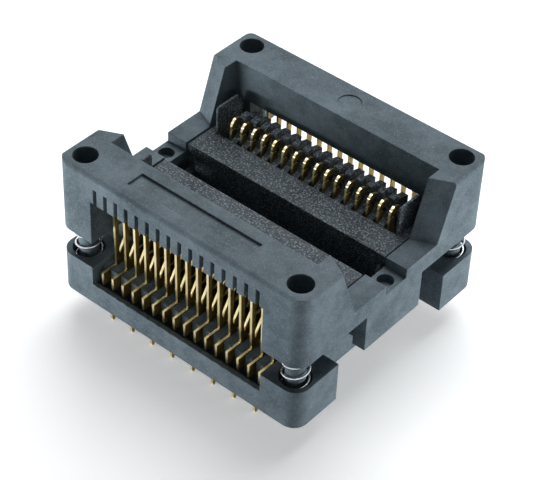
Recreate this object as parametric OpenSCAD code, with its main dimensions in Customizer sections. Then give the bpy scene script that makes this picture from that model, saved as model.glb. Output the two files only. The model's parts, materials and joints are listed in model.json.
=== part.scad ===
// Open-top press-down socket for a 32-lead surface-mount chip, 1.27 mm pitch.
// Pressing the cover swings two rows of sprung contacts outwards, so the chip drops in with
// no force; letting go clamps every lead.  Z = 0 is at the pin tips, X runs along the rows.

/* [Contact rows] */
// Spacing of the contacts along a row
pitch = 1.27; // [1.22:0.01:1.27]
// Contacts in each row
contact_count = 16; // [12:2:16]
// Thickness of the contact strip
strip_t = 0.25; // [0.2:0.01:0.3]
// Gap on each side of a strip in the slots of the base and cover
slot_gap = 0.1; // [0.05:0.01:0.12]
// Plastic left between the last slot and a corner column
row_end = 0.39; // [0.3:0.01:0.5]
// Gap on each side of a strip between the ribs of the nest
nest_gap = 0.18; // [0.1:0.01:0.2]

/* [Body] */
// Length of base and cover along the contact rows
body_l = 28.8; // [28.7:0.1:32]
// Width of base and cover across the rows
body_w = 26.6; // [26.4:0.1:27.2]
// Radius of the four upright corners
corner_r = 1.5; // [0.6:0.1:2]
// Length of a corner column or block along the rows
column_l = 4.25; // [4.2:0.05:4.4]
// Height of the column feet above the corner blocks
column_gap = 3; // [2.8:0.1:3.2]

/* [Cover] */
// Depth of the cover from its top to the feet of its columns
cover_h = 7.9; // [7.8:0.1:8.1]
// Radius of the cover's top edges
edge_r = 0.4; // [0.1:0.05:0.6]
// Width of the front and rear beams
beam_w = 4.75; // [4.7:0.05:4.8]
// Height of the beams at the outer face
beam_h = 3; // [2.8:0.1:3.2]
// Depth of the top face above the slots in the outer face
slot_roof = 1.3; // [1:0.1:1.4]
// How far the cam wedge hangs below the beam
wedge_h = 1; // [0.8:0.1:1]
// Gap between the cam face and the levers
cam_gap = 0.04; // [0.03:0.01:0.1]
// Width of the side beams
side_w = 2.35; // [2.3:0.05:2.4]
// Height of the side beams
side_h = 2; // [1.8:0.1:2.2]
// Distance of the sloping column faces from the middle, at the top
bevel_y = 7.5; // [7.2:0.1:8]
// Turn of those faces away from the rows
bevel_turn = 26.5; // [15:0.5:30]
// Lean of those faces
bevel_lean = 17.5; // [10:0.5:20]
// Depth of the notch in the middle of a side beam
notch_d = 1; // [0.6:0.1:1.2]
// Length of that notch
notch_l = 3; // [2.2:0.1:4]
// Diameter of the blind hole in the notch
notch_hole_d = 1.6; // [1:0.1:2]
// Floor left under that hole
notch_floor = 0.2; // [0.1:0.05:0.4]
// Length of the side skirts
skirt_l = 8; // [6:0.1:9]
// Thickness of the side skirts
skirt_t = 1.35; // [1:0.05:1.4]
// How far a skirt hangs below the columns
skirt_drop = 4.05; // [3.8:0.05:4.2]
// Length of the bare marking recess in the front beam
recess_l = 14; // [8:0.5:18]
// Width of the marking recess
recess_w = 1.95; // [1:0.05:2.4]
// Distance of the recess from the front face
recess_inset = 1.55; // [1.2:0.05:1.9]
// Depth of the marking recess
recess_d = 0.25; // [0.1:0.05:0.4]
// Diameter of the round mark in the rear beam
mark_d = 2.3; // [1.6:0.1:2.8]
// Distance of its middle from the rear face
mark_inset = 2.5; // [2:0.1:2.8]
// Depth of the round mark
mark_depth = 0.1; // [0.05:0.05:0.2]

/* [Latches] */
// Length of the hook inside a skirt
hook_l = 4; // [3:0.1:5]
// Height of the hook
hook_h = 0.8; // [0.6:0.05:0.85]
// Overlap of the hook and its ledge on the base
hook_bite = 0.4; // [0.3:0.05:0.45]
// Running gap between skirt and ledge, and at rest between hook and ledge
latch_gap = 0.08; // [0.05:0.01:0.12]
// Thickness of the ledge
ledge_t = 0.55; // [0.4:0.05:0.6]

/* [Springs and guides] */
// Distance of a spring axis from the end face of the body
spring_inset_x = 1.9; // [1.9:0.05:2.1]
// Distance of a spring axis from the front face of the body
spring_inset_y = 1.95; // [1.9:0.05:2.1]
// Mean diameter of a spring
spring_d = 2.46; // [2.4:0.01:2.6]
// Wire diameter of a spring
wire_d = 0.2; // [0.16:0.01:0.24]
// Open turns of a spring
spring_turns = 5.5; // [4:0.5:6]
// Gap round a spring in its pockets
spring_gap = 0.2; // [0.15:0.01:0.22]
// Diameter of the guide posts
post_d = 1.9; // [1.7:0.05:2]
// Radial running clearance of a post in the cover
guide_gap = 0.07; // [0.05:0.01:0.1]
// Length of the guide bore
bush_h = 1.4; // [1:0.1:1.8]
// Diameter of the holes above the guide bores
guide_d = 2.4; // [2.3:0.01:2.5]
// Length of a post in its bore at rest
post_in = 0.9; // [0.6:0.05:1.2]
// Depth of the spring pockets in the cover
cover_pocket = 2.9; // [2.6:0.1:3.2]
// Depth of the spring pockets in the base
base_pocket = 1.9; // [1.4:0.1:2.4]
// Travel of the cover when it is pressed
travel = 2.5; // [2.2:0.05:2.5]

/* [Base] */
// Height of the corner blocks of the base
block_h = 4.4; // [4.3:0.1:4.6]
// Width of a corner block across the rows
block_w = 5.6; // [5.2:0.1:6]
// Height of the front and rear lips
lip_h = 2.35; // [1.8:0.05:2.8]
// Thickness of the front and rear lips
lip_t = 0.45; // [0.35:0.05:0.5]
// Height of the floor's underside above the board
stand_h = 0.5; // [0.3:0.05:0.7]
// Thickness of the floor
floor_t = 0.7; // [0.6:0.05:0.9]
// Gap between the side walls and the side beams, along the rows
wall_gap = 0.25; // [0.2:0.05:0.3]
// Thickness of the side walls
wall_t = 0.7; // [0.6:0.05:0.75]
// Gap from the lip's outer face to the comb ribs
comb_inset = 1.5; // [1.3:0.1:1.7]
// Width of the comb ribs across the row
comb_w = 2.2; // [1.8:0.1:2.6]
// Width of the block under the terminals
sill_w = 3.6; // [3.2:0.1:4]

/* [Nest] */
// Gap between the side walls and the ends of the trough walls
nest_play = 0.1; // [0.05:0.01:0.2]
// Gap between the rails of the nest and the side walls they rest on
nest_lift = 0.05; // [0.03:0.01:0.1]
// Distance of the ends of the nest platforms from the side beams
platform_play = 0.2; // [0.15:0.01:0.25]
// Height of the chip platforms above the board
platform_z = 9.3; // [9.1:0.05:9.4]
// Thickness of the platforms
platform_t = 1; // [0.8:0.1:1.2]
// Depth of the rails under the platforms
rail_h = 2.8; // [2.2:0.1:3.2]
// Width of the trough between the two platforms
trough_w = 3.2; // [2.4:0.1:3.6]
// Depth of the walls along the trough, from the platform down
trough_h = 3.9; // [3.7:0.1:4.2]
// Thickness of those walls
trough_wall = 0.9; // [0.7:0.1:1.2]
// Width of a platform from the trough to the ribs
platform_w = 3.05; // [2.8:0.05:3.15]
// Gap between the back of the nest and the beams
nest_clear = 0.25; // [0.15:0.05:0.4]
// Height of the guide pillars above the platform
pillar_h = 2.35; // [2:0.05:2.5]
// Width of the guide pillars across the rows
pillar_w = 0.8; // [0.6:0.05:0.9]
// Distance of the pillars from the platform
pillar_set = 1.45; // [1.3:0.05:1.6]
// Step down from a pillar to the back of its rib
pillar_step = 0.35; // [0.2:0.05:0.5]
// Height of the back of a rib above the platform
back_h = 1.55; // [1.2:0.05:1.7]
// Height of the end walls above the platform
cheek_h = 3.1; // [2.6:0.1:3.2]
// Thickness of the end walls
cheek_t = 0.25; // [0.2:0.05:0.5]
// Distance of the end walls from the ends of the platform
cheek_inset = 0.85; // [0.5:0.05:1]

/* [Contacts] */
// Distance of the rocking point of a contact arm from the front face
pivot_inset = 2.9; // [2.85:0.01:2.95]
// Height of that rocking point above the board
pivot_z = 3.8; // [3.75:0.01:3.85]
// Radius of the round root of an arm
root_r = 0.5; // [0.4:0.01:0.52]
// Clearance of the round root in its seat
root_gap = 0.05; // [0.03:0.01:0.07]
// Swing of a contact arm at full travel, in degrees
swing = 6.1; // [5:0.1:6.2]
// Gap at rest between the levers and the cam wedge
lever_gap = 0.3; // [0.2:0.05:0.4]
// Width of a lever
lever_w = 0.55; // [0.4:0.01:0.6]
// Width of the arm that reaches to the chip
arm_w = 0.48; // [0.4:0.01:0.55]
// Distance from the nest platform to the nose of a contact
nose_gap = 0.45; // [0.35:0.01:0.6]
// Height of the jaw that a lead lies on, above the platform
jaw_h = 0.85; // [0.7:0.01:0.9]
// Gap between nose and jaw with no chip
jaw_gap = 0.1; // [0.06:0.01:0.2]
// Width of the jaw
jaw_w = 0.75; // [0.5:0.01:0.8]
// Radius of the head of a contact
head_r = 0.4; // [0.3:0.01:0.45]
// Height of the terminal bars
bar_h = 1.4; // [1.2:0.05:1.5]
// Distance of the terminal tips behind the lip
tip_gap = 0.2; // [0.1:0.01:0.3]
// Distance of the outer row of pins from the tips
outer_pin = 1.22; // [1.1:0.01:1.6]
// Distance between the two rows of pins on one side
pin_step = 2.54; // [2.4:0.01:2.54]
// Width of a pin
pin_w = 0.5; // [0.4:0.01:0.6]
// Length of the pins below the base
pin_l = 3; // [2:0.1:4]

/* [Hidden] */
$fn = 48;
eps = 0.02;
black = [0.13, 0.15, 0.17];
dark = [0.2, 0.22, 0.24];
gold = [0.85, 0.68, 0.36];
steel = [0.72, 0.73, 0.75];
half_l = body_l / 2;
half_w = body_w / 2;
column_x = half_l - column_l;
beam_y = half_w - beam_w;
feet_z = block_h + column_gap;
cover_top = feet_z + cover_h;
beam_z = cover_top - beam_h;
wedge_z = beam_z - wedge_h;
slot_top = cover_top - slot_roof;
side_x = half_l - side_w;
side_top = feet_z + side_h;
skirt_x = half_l - skirt_t;
skirt_z = feet_z - skirt_drop;
slot_w = strip_t + 2 * slot_gap;
nest_slot_w = strip_t + 2 * nest_gap;
spring_x = half_l - spring_inset_x;
spring_y = half_w - spring_inset_y;
pocket_d = spring_d + wire_d + 2 * spring_gap;
spring_z0 = block_h - base_pocket;
spring_z1 = feet_z + cover_pocket;
ledge_x = skirt_x - latch_gap;
ledge_z = skirt_z + hook_h + latch_gap;
floor_z = stand_h + floor_t;
wall_x = side_x - wall_gap;
rib_y = trough_w / 2 + platform_w;
nest_back = beam_y - nest_clear;
// A row holds as many of its contacts as find room between the columns.
contacts = min(contact_count, floor((2 * (column_x - row_end) - slot_w) / pitch) + 1);
pivot_y = half_w - pivot_inset;
platform_x = side_x - platform_play;
cheek_x = platform_x - cheek_inset - cheek_t;
wall_top = platform_z - rail_h - nest_lift;
comb_y = half_w - comb_inset;
tip_y = half_w - lip_t - tip_gap;
bar_z = pivot_z - root_r * 0.2 - bar_h;
bar_top = bar_z + bar_h;
nose_y = rib_y + nose_gap;
jaw_z = platform_z + jaw_h;
nose_z = jaw_z + jaw_gap;
lever_top = wedge_z - lever_gap;
lever_y = pivot_y + root_r * 0.2;
// The cam face follows the inner corner of a lever as the cover goes down.
cam_slope = (lever_top - pivot_z) * sin(swing) / travel;
cam_foot = lever_y - cam_gap + cam_slope * (wedge_z - lever_top);

function contact_x(i) = (i - (contacts + 1) / 2) * pitch;
function cam_y(z) = cam_foot + cam_slope * (z - wedge_z);
function contact_name(row, i) = str("contact_", row, i < 10 ? "_0" : "_", i);
function unit(v) = v / norm(v);

rows = ["front", "rear"];

// Everything is drawn from the face of the board and lifted onto the pins.
module on_pins() {
    translate([0, 0, pin_l]) children();
}

// A plan rectangle with round corners.
module rounded_plan(l, w, r) {
    square([l - 2 * r, w], center = true);
    square([l, w - 2 * r], center = true);
    for (x = [-1, 1], y = [-1, 1])
        translate([x * (l / 2 - r), y * (w / 2 - r)]) circle(r);
}

// A front view with its two top corners rounded.
module rounded_front(l, z0, z1, r) {
    translate([-l / 2, z0]) square([l, z1 - z0 - r]);
    translate([r - l / 2, z0]) square([l - 2 * r, z1 - z0]);
    for (x = [-1, 1]) translate([x * (l / 2 - r), z1 - r]) circle(r);
}

// Sweeps a profile drawn in (y, z) along x, centred on x = 0.
module along_x(l) {
    translate([-l / 2, 0, 0]) rotate([90, 0, 90]) linear_extrude(l) children();
}

// Sweeps a profile drawn in (x, z) along y, centred on y = 0.
module along_y(l) {
    translate([0, l / 2, 0]) rotate([90, 0, 0]) linear_extrude(l) children();
}

module at_corners() {
    for (x = [0, 1], y = [0, 1]) mirror([x, 0, 0]) mirror([0, y, 0]) children();
}

module both_rows() {
    for (y = [0, 1]) mirror([0, y, 0]) children();
}

module both_ends() {
    for (x = [0, 1]) mirror([x, 0, 0]) children();
}

module at_contacts(first = 1, step = 1) {
    for (i = [first:step:contacts]) translate([contact_x(i), 0, 0]) children();
}

// Cover: four corner columns, two cam beams, two low side beams and two latch skirts.

module cover_block() {
    intersection() {
        translate([0, 0, feet_z]) linear_extrude(cover_h) rounded_plan(body_l, body_w, corner_r);
        along_x(body_l + 2) rounded_front(body_w, feet_z - 1, cover_top, edge_r);
        along_y(body_w + 2) rounded_front(body_l, feet_z - 1, cover_top, edge_r);
    }
}

// What is cut away before the leaning face of a column, above the side beam.
module column_bevel() {
    intersection() {
        translate([half_l - side_w / 2, bevel_y, cover_top])
            rotate([0, 0, bevel_turn]) rotate([-bevel_lean, 0, 0])
            translate([-half_w, -2 * half_w, -half_w]) cube([body_w, body_w, body_w]);
        translate([side_x - 1, -eps, side_top]) cube([side_w + 2, half_w, cover_h]);
    }
}

// Space under a beam: the window, with the cam wedge left standing at its inner edge.
module window_profile() {
    polygon([[beam_y - 1, feet_z - 1], [beam_y - 1, wedge_z], [cam_foot, wedge_z],
             [cam_y(beam_z), beam_z], [half_w + 1, beam_z], [half_w + 1, feet_z - 1]]);
}

// The slot that a lever enters; its inner wall is the cam face.
module lever_slot_profile() {
    polygon([[cam_foot, wedge_z], [cam_y(slot_top), slot_top], [half_w + 1, slot_top],
             [half_w + 1, wedge_z]]);
}

// A hook with a lead-in below, to snap under the ledge of the base.
module latch_hook() {
    tip = ledge_x - hook_bite;
    polygon([[skirt_x + skirt_t / 2, skirt_z], [skirt_x, skirt_z], [tip, skirt_z + hook_h / 2],
             [tip, skirt_z + hook_h], [skirt_x + skirt_t / 2, skirt_z + hook_h]]);
}

module guide_stack() {
    translate([spring_x, spring_y, feet_z - 1]) {
        cylinder(d = pocket_d, h = cover_pocket + 1);
        cylinder(d = post_d + 2 * guide_gap, h = cover_h + 2);
    }
    translate([spring_x, spring_y, spring_z1 + bush_h]) cylinder(d = guide_d, h = cover_h);
}

module side_notch() {
    translate([side_x - 1, -notch_l / 2, side_top - notch_d]) cube([side_w + 2, notch_l, cover_h]);
    translate([half_l - side_w / 2, 0, feet_z + notch_floor])
        cylinder(d = notch_hole_d, h = side_h);
}

module cover() on_pins() color(black) difference() {
    union() {
        cover_block();
        both_ends() {
            translate([skirt_x, -skirt_l / 2, skirt_z]) cube([skirt_t, skirt_l, skirt_drop + side_h / 2]);
            along_y(hook_l) latch_hook();
        }
    }
    translate([-side_x, -beam_y, feet_z - 1]) cube([2 * side_x, 2 * beam_y, cover_h + 2]);
    both_rows() {
        along_x(2 * column_x) window_profile();
        at_contacts() along_x(slot_w) lever_slot_profile();
    }
    at_corners() {
        column_bevel();
        guide_stack();
    }
    both_ends() side_notch();
    translate([-recess_l / 2, recess_inset - half_w, cover_top - recess_d])
        cube([recess_l, recess_w, 1]);
    translate([0, half_w - mark_inset, cover_top - mark_depth]) cylinder(d = mark_d, h = 1);
}

// Base: corner blocks with spring pockets and posts, side walls, floor and terminal combs.

module corner_block() {
    translate([spring_x, spring_y, spring_z0 - eps]) cylinder(d = post_d, h = post_in + spring_z1 - spring_z0);
    difference() {
        linear_extrude(block_h) intersection() {
            rounded_plan(body_l, body_w, corner_r);
            translate([column_x, half_w - block_w]) square([column_l + 1, block_w + 1]);
        }
        translate([spring_x, spring_y, spring_z0]) cylinder(d = pocket_d, h = block_h);
    }
}

// Sill, comb and lip across the row, drawn without the slots.
module row_profile() {
    polygon([[comb_y - sill_w, stand_h], [half_w - lip_t, stand_h], [half_w - lip_t, 0], [half_w, 0],
             [half_w, lip_h], [half_w - lip_t, lip_h], [half_w - lip_t, floor_z], [comb_y, floor_z],
             [comb_y, bar_top], [comb_y - comb_w, bar_top], [comb_y - comb_w, bar_z],
             [comb_y - sill_w, bar_z]]);
}

module ledge_profile() {
    polygon([[wall_x - wall_t / 2, ledge_z], [ledge_x, ledge_z], [ledge_x, ledge_z + ledge_t / 2],
             [ledge_x - ledge_t / 2, ledge_z + ledge_t], [wall_x - wall_t / 2, ledge_z + ledge_t]]);
}

module base_housing() on_pins() color(black) difference() {
    union() {
        at_corners() corner_block();
        translate([-wall_x, -nest_back, stand_h]) cube([2 * wall_x, 2 * nest_back, floor_t]);
        both_rows() along_x(2 * column_x + 1) row_profile();
        both_ends() {
            translate([wall_x - wall_t, -nest_back, stand_h])
                cube([wall_t, 2 * nest_back, wall_top - stand_h]);
            along_y(skirt_l) ledge_profile();
        }
    }
    both_rows() {
        at_contacts() translate([-slot_w / 2, comb_y - sill_w, bar_z]) cube([slot_w, half_w, block_h]);
        at_contacts(1, 2) pin_hole(tip_y - outer_pin);
        at_contacts(2, 2) pin_hole(tip_y - outer_pin - pin_step);
    }
}

module pin_hole(y) {
    translate([-slot_w / 2, y - pin_w / 2 - slot_gap, -1])
        cube([slot_w, pin_w + 2 * slot_gap, block_h + 1]);
}

// Nest: a platform for half of the chip's body and a rib between every two contacts.

// A rib: low foot at the platform, guide pillar, back that falls a little towards the beam.
module rib_profile() {
    front = rib_y + pillar_set;
    back = front + pillar_w;
    top = platform_z + pillar_h;
    low = platform_z - rail_h;
    polygon([[rib_y - 0.3, low], [nest_back, low], [nest_back, platform_z + back_h],
             [back, top - pillar_step], [back, top], [front, top], [front, top - pillar_h / 2],
             [rib_y + pillar_set / 2, platform_z + 0.2], [rib_y, platform_z - 0.1],
             [rib_y - 0.3, platform_z - 0.1]]);
}

module end_wall_profile() {
    top = platform_z + cheek_h;
    polygon([[rib_y - 0.3, platform_z - rail_h], [nest_back, platform_z - rail_h], [nest_back, top - 1.1],
             [nest_back - 0.8, top], [rib_y + 0.15, top], [rib_y - 0.05, top - 0.2],
             [rib_y - 0.05, platform_z - 0.1], [rib_y - 0.3, platform_z - 0.1]]);
}

module nest() on_pins() color(dark) {
    trough_x = wall_x - wall_t - nest_play;
    translate([-platform_x, trough_w / 2, platform_z - platform_t])
        cube([2 * platform_x, platform_w, platform_t]);
    translate([-platform_x, rib_y - platform_w / 2, platform_z - rail_h])
        cube([2 * platform_x, platform_w / 2, rail_h - platform_t / 2]);
    translate([-trough_x, trough_w / 2, platform_z - trough_h])
        cube([2 * trough_x, trough_wall, trough_h - platform_t / 2]);
    for (i = [1:contacts - 1]) translate([contact_x(i + 0.5), 0, 0])
        along_x(pitch - nest_slot_w) rib_profile();
    both_ends() {
        translate([cheek_x + cheek_t / 2, 0, 0]) along_x(cheek_t) end_wall_profile();
        translate([cheek_x, rib_y - platform_w / 2, platform_z - rail_h])
            cube([platform_x - cheek_x, nest_back - rib_y + platform_w / 2, rail_h]);
    }
}

module nest_front() { mirror([0, 1, 0]) nest(); }

module nest_rear() { nest(); }

// Contacts: a fixed terminal with its pin and jaw, and a sprung arm that rocks in it.

module terminal_profile(pin_y) {
    difference() {
        polygon([[nose_y - 0.08, bar_z], [tip_y, bar_z], [tip_y, bar_top],
                 [nose_y + jaw_w + 1.2, bar_top], [nose_y + jaw_w + 0.3, bar_top + 0.5],
                 [nose_y + jaw_w, bar_top + 1.5], [nose_y + jaw_w, jaw_z - 0.3],
                 [nose_y + jaw_w - 0.2, jaw_z], [nose_y, jaw_z], [nose_y - 0.08, jaw_z - 0.4]]);
        translate([pivot_y, pivot_z]) circle(root_r + root_gap);
    }
    polygon([[pin_y - pin_w / 2, bar_z + 0.2], [pin_y + pin_w / 2, bar_z + 0.2],
             [pin_y + pin_w / 2, 0.4 - pin_l], [pin_y + pin_w / 4, -pin_l],
             [pin_y - pin_w / 4, -pin_l], [pin_y - pin_w / 2, 0.4 - pin_l]]);
}

module terminals(first, pin_y) on_pins() color(gold)
    at_contacts(first, 2) along_x(strip_t) terminal_profile(pin_y);

module terminals_rear_outer() { terminals(1, tip_y - outer_pin); }

module terminals_rear_inner() { terminals(2, tip_y - outer_pin - pin_step); }

module terminals_front_outer() { mirror([0, 1, 0]) terminals_rear_outer(); }

module terminals_front_inner() { mirror([0, 1, 0]) terminals_rear_inner(); }

// The arm's centre line is a cubic from its root to its head.
function cubic(p, t) = p[0] * pow(1 - t, 3) + p[1] * 3 * t * pow(1 - t, 2)
    + p[2] * 3 * t * t * (1 - t) + p[3] * pow(t, 3);
function cubic_way(p, t) = unit((p[1] - p[0]) * pow(1 - t, 2) + (p[2] - p[1]) * 2 * t * (1 - t)
    + (p[3] - p[2]) * t * t);
function beside(p, t, d) = let (w = cubic_way(p, t)) cubic(p, t) + d * [-w[1], w[0]];

module arm_profile() {
    head = [nose_y + head_r + 0.2, nose_z + 0.64];
    neck = head + [0.55, 0];
    line = [[pivot_y - 0.15, pivot_z + 0.6], [pivot_y - 0.9, pivot_z + 3.2],
            [neck[0] + 1.05, neck[1] - 3.3], neck];
    top = lever_top;
    translate([pivot_y, pivot_z]) circle(root_r);
    // The lever, straight on its outer side, and the fork where the arm leaves it
    polygon([[pivot_y - root_r * 0.84, pivot_z + root_r * 0.2], [pivot_y + root_r * 0.96, pivot_z + root_r * 0.2],
             [lever_y + lever_w, top - 0.35], [lever_y + lever_w - 0.16, top],
             [lever_y + 0.1, top], [lever_y, top - 0.12], [lever_y, pivot_z + 1.3],
             [pivot_y, pivot_z + 0.95], [pivot_y - 0.34, pivot_z + 1.25]]);
    polygon(concat([for (k = [0:10]) beside(line, k / 10, -arm_w / 2)],
                   [for (k = [10:-1:0]) beside(line, k / 10, arm_w / 2)]));
    translate(head) circle(head_r);
    translate(neck) circle(arm_w / 2);
    polygon([head - [0.1, 0.3], neck - [0.1, arm_w * 0.4], neck + [0.08, arm_w * 0.46],
             head + [0.1, head_r * 0.95], head + [-0.1, head_r * 0.9]]);
    polygon([[nose_y, nose_z], [nose_y + 0.3, nose_z], [nose_y + 0.7, nose_z + 0.4],
             [nose_y + 0.6, nose_z + 0.8], [nose_y + 0.12, nose_z + 0.72], [nose_y - 0.02, nose_z + 0.35]]);
}

module contact_arm(row, i) mirror([0, row == "front" ? 1 : 0, 0]) on_pins() color(gold)
    translate([contact_x(i), 0, 0]) along_x(strip_t) arm_profile();

// Springs: a round-wire helix with a closed turn at each end.

wire_sides = 6;
turn_steps = 12;

module coil_spring(x, y) {
    turns = spring_turns + 2;
    z0 = spring_z0 + wire_d / 2 + eps;
    z1 = spring_z1 - wire_d / 2 - eps;
    rise = (z1 - z0 - 2 * wire_d) / spring_turns;
    steps = turns * turn_steps;
    function height(n) = n < 1 ? z0 + n * wire_d : n > turns - 1 ? z1 - (turns - n) * wire_d
        : z0 + wire_d + (n - 1) * rise;
    rings = [for (k = [0:steps]) let (a = 360 * k / turn_steps)
        [for (j = [0:wire_sides - 1]) let (b = 360 * j / wire_sides, r = (spring_d + wire_d * cos(b)) / 2)
            [r * cos(a), r * sin(a), height(k / turn_steps) + wire_d / 2 * sin(b)]]];
    translate([x * spring_x, y * spring_y, 0]) polyhedron(
        points = [for (ring = rings) each ring],
        faces = concat([[for (j = [0:wire_sides - 1]) j]],
            [for (k = [0:steps - 1], j = [0:wire_sides - 1]) let (n = (j + 1) % wire_sides)
                each [[k * wire_sides + j, (k + 1) * wire_sides + j, (k + 1) * wire_sides + n],
                      [k * wire_sides + j, (k + 1) * wire_sides + n, k * wire_sides + n]]],
            [[for (j = [wire_sides - 1:-1:0]) steps * wire_sides + j]]));
}

module spring_front_left() on_pins() color(steel) coil_spring(-1, -1);

module spring_front_right() on_pins() color(steel) coil_spring(1, -1);

module spring_rear_left() on_pins() color(steel) coil_spring(-1, 1);

module spring_rear_right() on_pins() color(steel) coil_spring(1, 1);

base_housing();
cover();
nest_front();
nest_rear();
spring_front_left();
spring_front_right();
spring_rear_left();
spring_rear_right();
terminals_front_outer();
terminals_front_inner();
terminals_rear_outer();
terminals_rear_inner();
for (row = rows, i = [1:contacts])
    contact_arm(row, i);
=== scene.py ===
# Open-top press-down socket for a 32-lead chip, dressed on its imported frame.
import json
import math

import bmesh
import bpy
from mathutils import Matrix, Vector


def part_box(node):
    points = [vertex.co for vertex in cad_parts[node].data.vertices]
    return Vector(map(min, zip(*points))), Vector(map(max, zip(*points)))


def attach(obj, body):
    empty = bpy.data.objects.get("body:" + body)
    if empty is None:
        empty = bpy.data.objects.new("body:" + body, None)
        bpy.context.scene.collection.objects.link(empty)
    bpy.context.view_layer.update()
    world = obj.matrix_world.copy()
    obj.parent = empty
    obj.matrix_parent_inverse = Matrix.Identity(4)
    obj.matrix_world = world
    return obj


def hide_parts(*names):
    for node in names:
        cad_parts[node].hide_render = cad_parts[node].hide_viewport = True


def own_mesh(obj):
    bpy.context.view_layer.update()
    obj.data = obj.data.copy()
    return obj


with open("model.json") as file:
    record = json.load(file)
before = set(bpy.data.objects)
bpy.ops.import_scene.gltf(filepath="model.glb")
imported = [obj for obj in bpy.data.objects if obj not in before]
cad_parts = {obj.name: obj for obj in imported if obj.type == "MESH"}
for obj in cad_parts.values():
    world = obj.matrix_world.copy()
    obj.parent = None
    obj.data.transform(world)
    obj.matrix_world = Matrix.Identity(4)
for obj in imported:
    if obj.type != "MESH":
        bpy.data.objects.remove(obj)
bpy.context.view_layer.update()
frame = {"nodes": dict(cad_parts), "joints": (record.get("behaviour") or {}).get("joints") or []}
nodes = frame["nodes"]


# Camera: it looks down on the front right-hand corner through a long lens, and is turned a
# little on its own axis.  The three angles are in degrees.
aim = Vector((0.00282, -0.00363, 0.0123))
reach = 0.16833
bearing, height, roll = (math.radians(degrees) for degrees in (-38.72, 41.55, 2.57))
back = Vector((-math.sin(bearing) * math.cos(height),
               -math.cos(bearing) * math.cos(height),
               math.sin(height)))
camera_data = bpy.data.cameras.new("camera")
camera_data.sensor_width = 36
camera_data.lens = 124.84
camera_data.clip_start, camera_data.clip_end = 0.01, 10
camera = bpy.data.objects.new("camera", camera_data)
camera.matrix_world = (Matrix.Translation(aim + back * reach)
                       @ (-back).to_track_quat("-Z", "Y").to_matrix().to_4x4()
                       @ Matrix.Rotation(roll, 4, "Z"))
bpy.context.scene.collection.objects.link(camera)
bpy.context.scene.camera = camera
bpy.context.scene.view_settings.view_transform = "Standard"


# Base and cover: glass-filled plastic, moulded in a spark-eroded tool.  The faces carry a fine
# even grain and soft flow clouds, and pale glass fibre shows through as specks.  Every edge is
# just broken so it catches the light, and a thin paler line is painted along it as a painted
# highlight.
class Value:
    # One output of a node.  Arithmetic on it adds Math nodes.
    def __init__(self, finish, socket):
        self.finish, self.socket = finish, socket

    def maths(self, operation, first, second):
        return self.finish.add("ShaderNodeMath", {"operation": operation}, {0: first, 1: second})

    def __add__(self, other):
        return self.maths("ADD", self, other)

    def __sub__(self, other):
        return self.maths("SUBTRACT", self, other)

    def __rsub__(self, other):
        return self.maths("SUBTRACT", other, self)

    def __mul__(self, other):
        return self.maths("MULTIPLY", self, other)

    def __abs__(self):
        return self.maths("ABSOLUTE", self, 0)

    def highest(self, other):
        return self.maths("MAXIMUM", self, other)

    __radd__, __rmul__ = __add__, __mul__


class Finish:
    # One material.  Its add method makes a node of any kind.
    def __init__(self, name, **fixed):
        self.material = bpy.data.materials.new(name)
        self.material.use_nodes = True
        self.nodes = self.material.node_tree.nodes
        self.links = self.material.node_tree.links
        self.surface = self.nodes["Principled BSDF"]
        self.paint(**fixed)
        self.place = self.add("ShaderNodeTexCoord", output="Object")

    def feed(self, node, inputs):
        for key, value in inputs.items():
            if isinstance(value, Value):
                self.links.new(value.socket, node.inputs[key])
            else:
                node.inputs[key].default_value = value

    def add(self, kind, settings=None, inputs=None, output=0):
        node = self.nodes.new(kind)
        for key, value in (settings or {}).items():
            if key == "stops":
                ramp = node.color_ramp.elements
                while len(ramp) < len(value):
                    ramp.new(0.5)
                for stop, (position, shade) in zip(ramp, value):
                    stop.position, stop.color = position, (*shade, 1)
            else:
                setattr(node, key, value)
        self.feed(node, inputs or {})
        return Value(self, node.outputs[output])

    def noise(self, scale, detail=2, roughness=0.5):
        return self.add("ShaderNodeTexNoise", None,
                        {"Vector": self.place, "Scale": scale, "Detail": detail,
                         "Roughness": roughness}, "Fac")

    def ramp(self, value, *stops):
        return self.add("ShaderNodeValToRGB", {"stops": stops}, {"Fac": value}, "Color")

    def mask(self, value, low, high):
        return self.add("ShaderNodeMapRange", None,
                        {"Value": value, "From Min": low, "From Max": high}, "Result")

    def blend(self, share, first, second):
        return self.add("ShaderNodeMix", {"data_type": "RGBA"},
                        {0: share, 6: first, 7: second}, 2)

    def paint(self, **inputs):
        self.feed(self.surface, {key.replace("_", " "): value for key, value in inputs.items()})
        return self.material


def dress(material, *names):
    for name in names:
        mesh = nodes[name].data
        mesh.materials.clear()
        mesh.materials.append(material)


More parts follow.
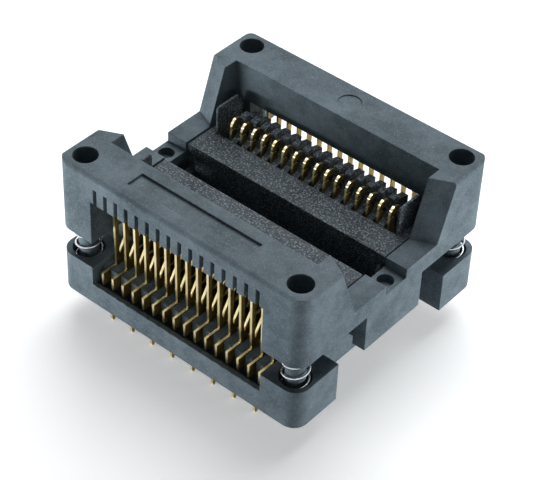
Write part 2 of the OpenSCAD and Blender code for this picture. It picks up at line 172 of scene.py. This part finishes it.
def moulding(name, dark, light, pale, speck_level, speck_scale, grain, rough):
    edge_radius, grain_depth = 0.00014, 0.00003
    finish = Finish(name, Specular_IOR_Level=0.06)
    fine = finish.noise(scale=8000, detail=3, roughness=0.6)
    cloud = finish.noise(scale=900, detail=4, roughness=0.6)
    broad = finish.noise(scale=170, detail=3)
    tone = finish.ramp(broad * 0.5 + cloud * 0.3 + fine * 0.2, (0.4, dark), (0.6, light))
    fibre = finish.noise(scale=speck_scale, detail=1, roughness=0.4)
    fleck = finish.mask(fibre, low=speck_level, high=speck_level + 0.06)
    buried_fibre = finish.noise(scale=speck_scale * 0.45, detail=2)
    smear = finish.mask(buried_fibre, low=speck_level - 0.04, high=speck_level + 0.1)
    edge = finish.add("ShaderNodeBevel", {"samples": 6}, {"Radius": edge_radius})
    flat = finish.add("ShaderNodeNewGeometry", output="Normal")
    turn = finish.add("ShaderNodeVectorMath", {"operation": "DOT_PRODUCT"},
                      {0: edge, 1: flat}, "Value")
    # Painted highlight: where the bevelled normal turns away from the flat one, the edge is
    # painted paler, in patches.
    painted_edge_highlight = finish.mask(turn, low=0.97, high=0.8) * finish.mask(fine, low=0.3, high=0.6)
    colour = finish.blend(fleck * 0.55 + smear * 0.2 + painted_edge_highlight * 0.35, tone, (*pale, 1))
    bump = finish.add("ShaderNodeBump", None,
                      {"Strength": grain, "Distance": grain_depth, "Normal": edge,
                       "Height": fine * 0.6 + cloud * 0.2 + fleck * 0.2})
    return finish.paint(Base_Color=colour, Normal=bump,
                        Roughness=rough + cloud * 0.12 - fleck * 0.1)


black_plastic = moulding("black_plastic", dark=(0.072, 0.098, 0.115),
                         light=(0.144, 0.186, 0.212), pale=(0.22, 0.26, 0.285),
                         speck_level=0.62, speck_scale=7500, grain=0.55, rough=0.5)
dress(black_plastic, "base_housing", "cover")


# Nest: the same plastic from a separate tool with a much coarser spark finish, so the platforms
# are darker and sparkle with pale specks.
nest_plastic = moulding("nest_plastic", dark=(0.03, 0.04, 0.048),
                        light=(0.075, 0.093, 0.107), pale=(0.3, 0.34, 0.37),
                        speck_level=0.57, speck_scale=5600, grain=0.9, rough=0.45)
dress(nest_plastic, "nest_front", "nest_rear")


# Contacts and terminals: copper alloy strip, a quarter of a millimetre thick, stamped and then
# plated with gold over nickel.  The sheared edges are bright; the rolled broad faces are rougher
# and faintly stained, and their colour is darkened to a brown olive as painted shade.
def gold_plate():
    grain_strength, grain_depth = 0.2, 0.00001
    finish = Finish("gold_plate", Metallic=1)
    stain = finish.noise(scale=800, detail=3)
    grain = finish.noise(scale=7000, detail=2)
    facing = finish.add("ShaderNodeTexCoord", output="Normal")
    across = abs(finish.add("ShaderNodeSeparateXYZ", None, {"Vector": facing}, "X"))
    # Painted shade: the broad faces, picked out by which way they face, get a dark brown gold;
    # only their extra roughness is real.
    broad = finish.mask(across, low=0.6, high=0.9)
    bright = finish.ramp(stain, (0.3, (0.84, 0.68, 0.34)), (0.65, (0.97, 0.86, 0.52)))
    dull_and_painted_shade = finish.ramp(stain, (0.3, (0.16, 0.115, 0.03)), (0.65, (0.38, 0.28, 0.085)))
    bump = finish.add("ShaderNodeBump", None,
                      {"Strength": grain_strength, "Distance": grain_depth, "Height": grain})
    return finish.paint(Base_Color=finish.blend(broad, bright, dull_and_painted_shade),
                        Roughness=0.22 + stain * 0.15 + broad * 0.2, Normal=bump)


gold = gold_plate()
stamped = [name for name in nodes if name.startswith(("contact_", "terminals_"))]
dress(gold, *stamped)


# Springs: bright steel wire wound cold, with a closed turn at each end.  Each stands on the
# floor of its pocket in the base and pushes on the roof of its pocket in the cover.
def spring_steel():
    finish = Finish("spring_steel", Metallic=1)
    drawn = finish.noise(scale=3000, detail=2)
    steel_grey = finish.ramp(drawn, (0.3, (0.55, 0.56, 0.58)), (0.7, (0.8, 0.81, 0.83)))
    return finish.paint(Base_Color=steel_grey, Roughness=0.18 + drawn * 0.15)


def wind_spring(name, material, wire, open_turns, steps, sides):
    low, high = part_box(name)
    middle = (low + high) / 2
    radius = (high.x - low.x) / 2 - wire / 2
    first, last = low.z + wire / 2, high.z - wire / 2
    mesh = bmesh.new()
    ring = bmesh.ops.create_circle(mesh, segments=sides, radius=wire / 2)["verts"]
    bmesh.ops.rotate(mesh, verts=ring, cent=(0, 0, 0), matrix=Matrix.Rotation(math.pi / 2, 3, "X"))
    bmesh.ops.translate(mesh, verts=ring, vec=(middle.x + radius, middle.y, first))
    wound = list(mesh.edges)
    bmesh.ops.contextual_create(mesh, geom=wound)
    closed_end = (1, wire)
    open_rise = (last - first - 2 * wire) / open_turns
    for turns, rise in (closed_end, (open_turns, open_rise), closed_end):
        count = round(turns * steps)
        swept = bmesh.ops.spin(mesh, geom=wound, cent=(middle.x, middle.y, 0), axis=(0, 0, 1),
                               dvec=(0, 0, rise * turns / count), angle=math.tau * turns,
                               steps=count)
        wound = [item for item in swept["geom_last"] if isinstance(item, bmesh.types.BMEdge)]
    bmesh.ops.contextual_create(mesh, geom=wound)
    bmesh.ops.recalc_face_normals(mesh, faces=mesh.faces)
    for face in mesh.faces:
        face.smooth = len(face.verts) == 4
    data = bpy.data.meshes.new(name + "_wire")
    mesh.to_mesh(data)
    mesh.free()
    data.materials.append(material)
    wire_object = bpy.data.objects.new(name + "_wire", data)
    bpy.context.scene.collection.objects.link(wire_object)
    return wire_object, low, high


steel = spring_steel()
press = next(joint for joint in frame["joints"] if joint["name"] == "cover_press")
travel = press["range_m"][1]
for name in sorted(name for name in nodes if name.startswith("spring_")):
    dress(steel, name)
    spring, low, high = wind_spring(name, steel, wire=0.0002, open_turns=5.5, steps=28, sides=10)
    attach(spring, "base")
    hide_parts(name)
    1 - travel / (high.z - low.z)
    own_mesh(spring)


# Table and light: a white table under a large soft lamp above and behind on the left, so the
# shadow is short and soft, with pale walls low all round.  A small low lamp stands at the front
# left and another at the rear right, and neither of them shows in the metal.
white = (0.97, 0.985, 1, 1)


def background_rays(finish):
    camera_ray, glossy_ray, transmission_ray = [
        finish.add("ShaderNodeLightPath", output=name)
        for name in ("Is Camera Ray", "Is Glossy Ray", "Is Transmission Ray")]
    return camera_ray.highest(glossy_ray).highest(transmission_ray)


def table_top():
    black, glow_near, near, far = (0, 0, 0, 1), (0.36, 0.365, 0.37, 1), 0.05, 0.14
    finish = Finish("table_top", Base_Color=(0.86, 0.87, 0.88, 1), Roughness=0.9,
                    Specular_IOR_Level=0.0, Emission_Strength=1)
    distance = finish.add("ShaderNodeVectorMath", {"operation": "LENGTH"},
                          {0: finish.place}, "Value")
    pale = finish.blend(finish.mask(distance, low=near, high=far), glow_near, white)
    glow = finish.blend(background_rays(finish), black, pale)
    return finish.paint(Emission_Color=glow)


table_reach = 1.5
sweep = bmesh.new()
bmesh.ops.create_grid(sweep, x_segments=1, y_segments=1, size=table_reach)
sweep_data = bpy.data.meshes.new("table_top")
sweep.to_mesh(sweep_data)
sweep.free()
sweep_data.materials.append(table_top())
table = bpy.data.objects.new("table_top", sweep_data)
bpy.context.scene.collection.objects.link(table)


class Sky(Finish):
    # The world, fed and added to as a material is.
    def __init__(self, name):
        self.world = bpy.data.worlds.new(name)
        self.world.use_nodes = True
        self.nodes, self.links = self.world.node_tree.nodes, self.world.node_tree.links
        self.surface = self.nodes["Background"]


room_light, wall_light, wall_top, wall_foot = 0.05, 1.1, 0.2, 0.06
sky = Sky("studio")
direction = sky.add("ShaderNodeTexCoord", output="Generated")
rise = sky.add("ShaderNodeSeparateXYZ", None, {"Vector": direction}, "Z")
shown = background_rays(sky)
lit = sky.mask(rise, low=wall_top, high=wall_foot) * wall_light + room_light
sky.feed(sky.surface, {"Color": white, "Strength": shown + (1 - shown) * lit})
bpy.context.scene.world = sky.world
socket_middle = Vector((0, 0, 0.008))


def soft_lamp(name, place, size, power, mirrored):
    data = bpy.data.lights.new(name, "AREA")
    data.shape, data.energy = "RECTANGLE", power
    data.size, data.size_y = size
    lamp = bpy.data.objects.new(name, data)
    towards = socket_middle - Vector(place)
    lamp.matrix_world = (Matrix.Translation(place)
                         @ towards.to_track_quat("-Z", "Y").to_matrix().to_4x4())
    lamp.visible_camera, lamp.visible_glossy = False, mirrored
    bpy.context.scene.collection.objects.link(lamp)


soft_lamp("key", (-0.055, 0.125, 0.22), (0.24, 0.24), 0.78, mirrored=True)
soft_lamp("low_left", (-0.057, -0.06, 0.006), (0.07, 0.01), 0.062, mirrored=False)
soft_lamp("low_right", (0.07, 0.045, 0.0065), (0.07, 0.011), 0.06, mirrored=False)
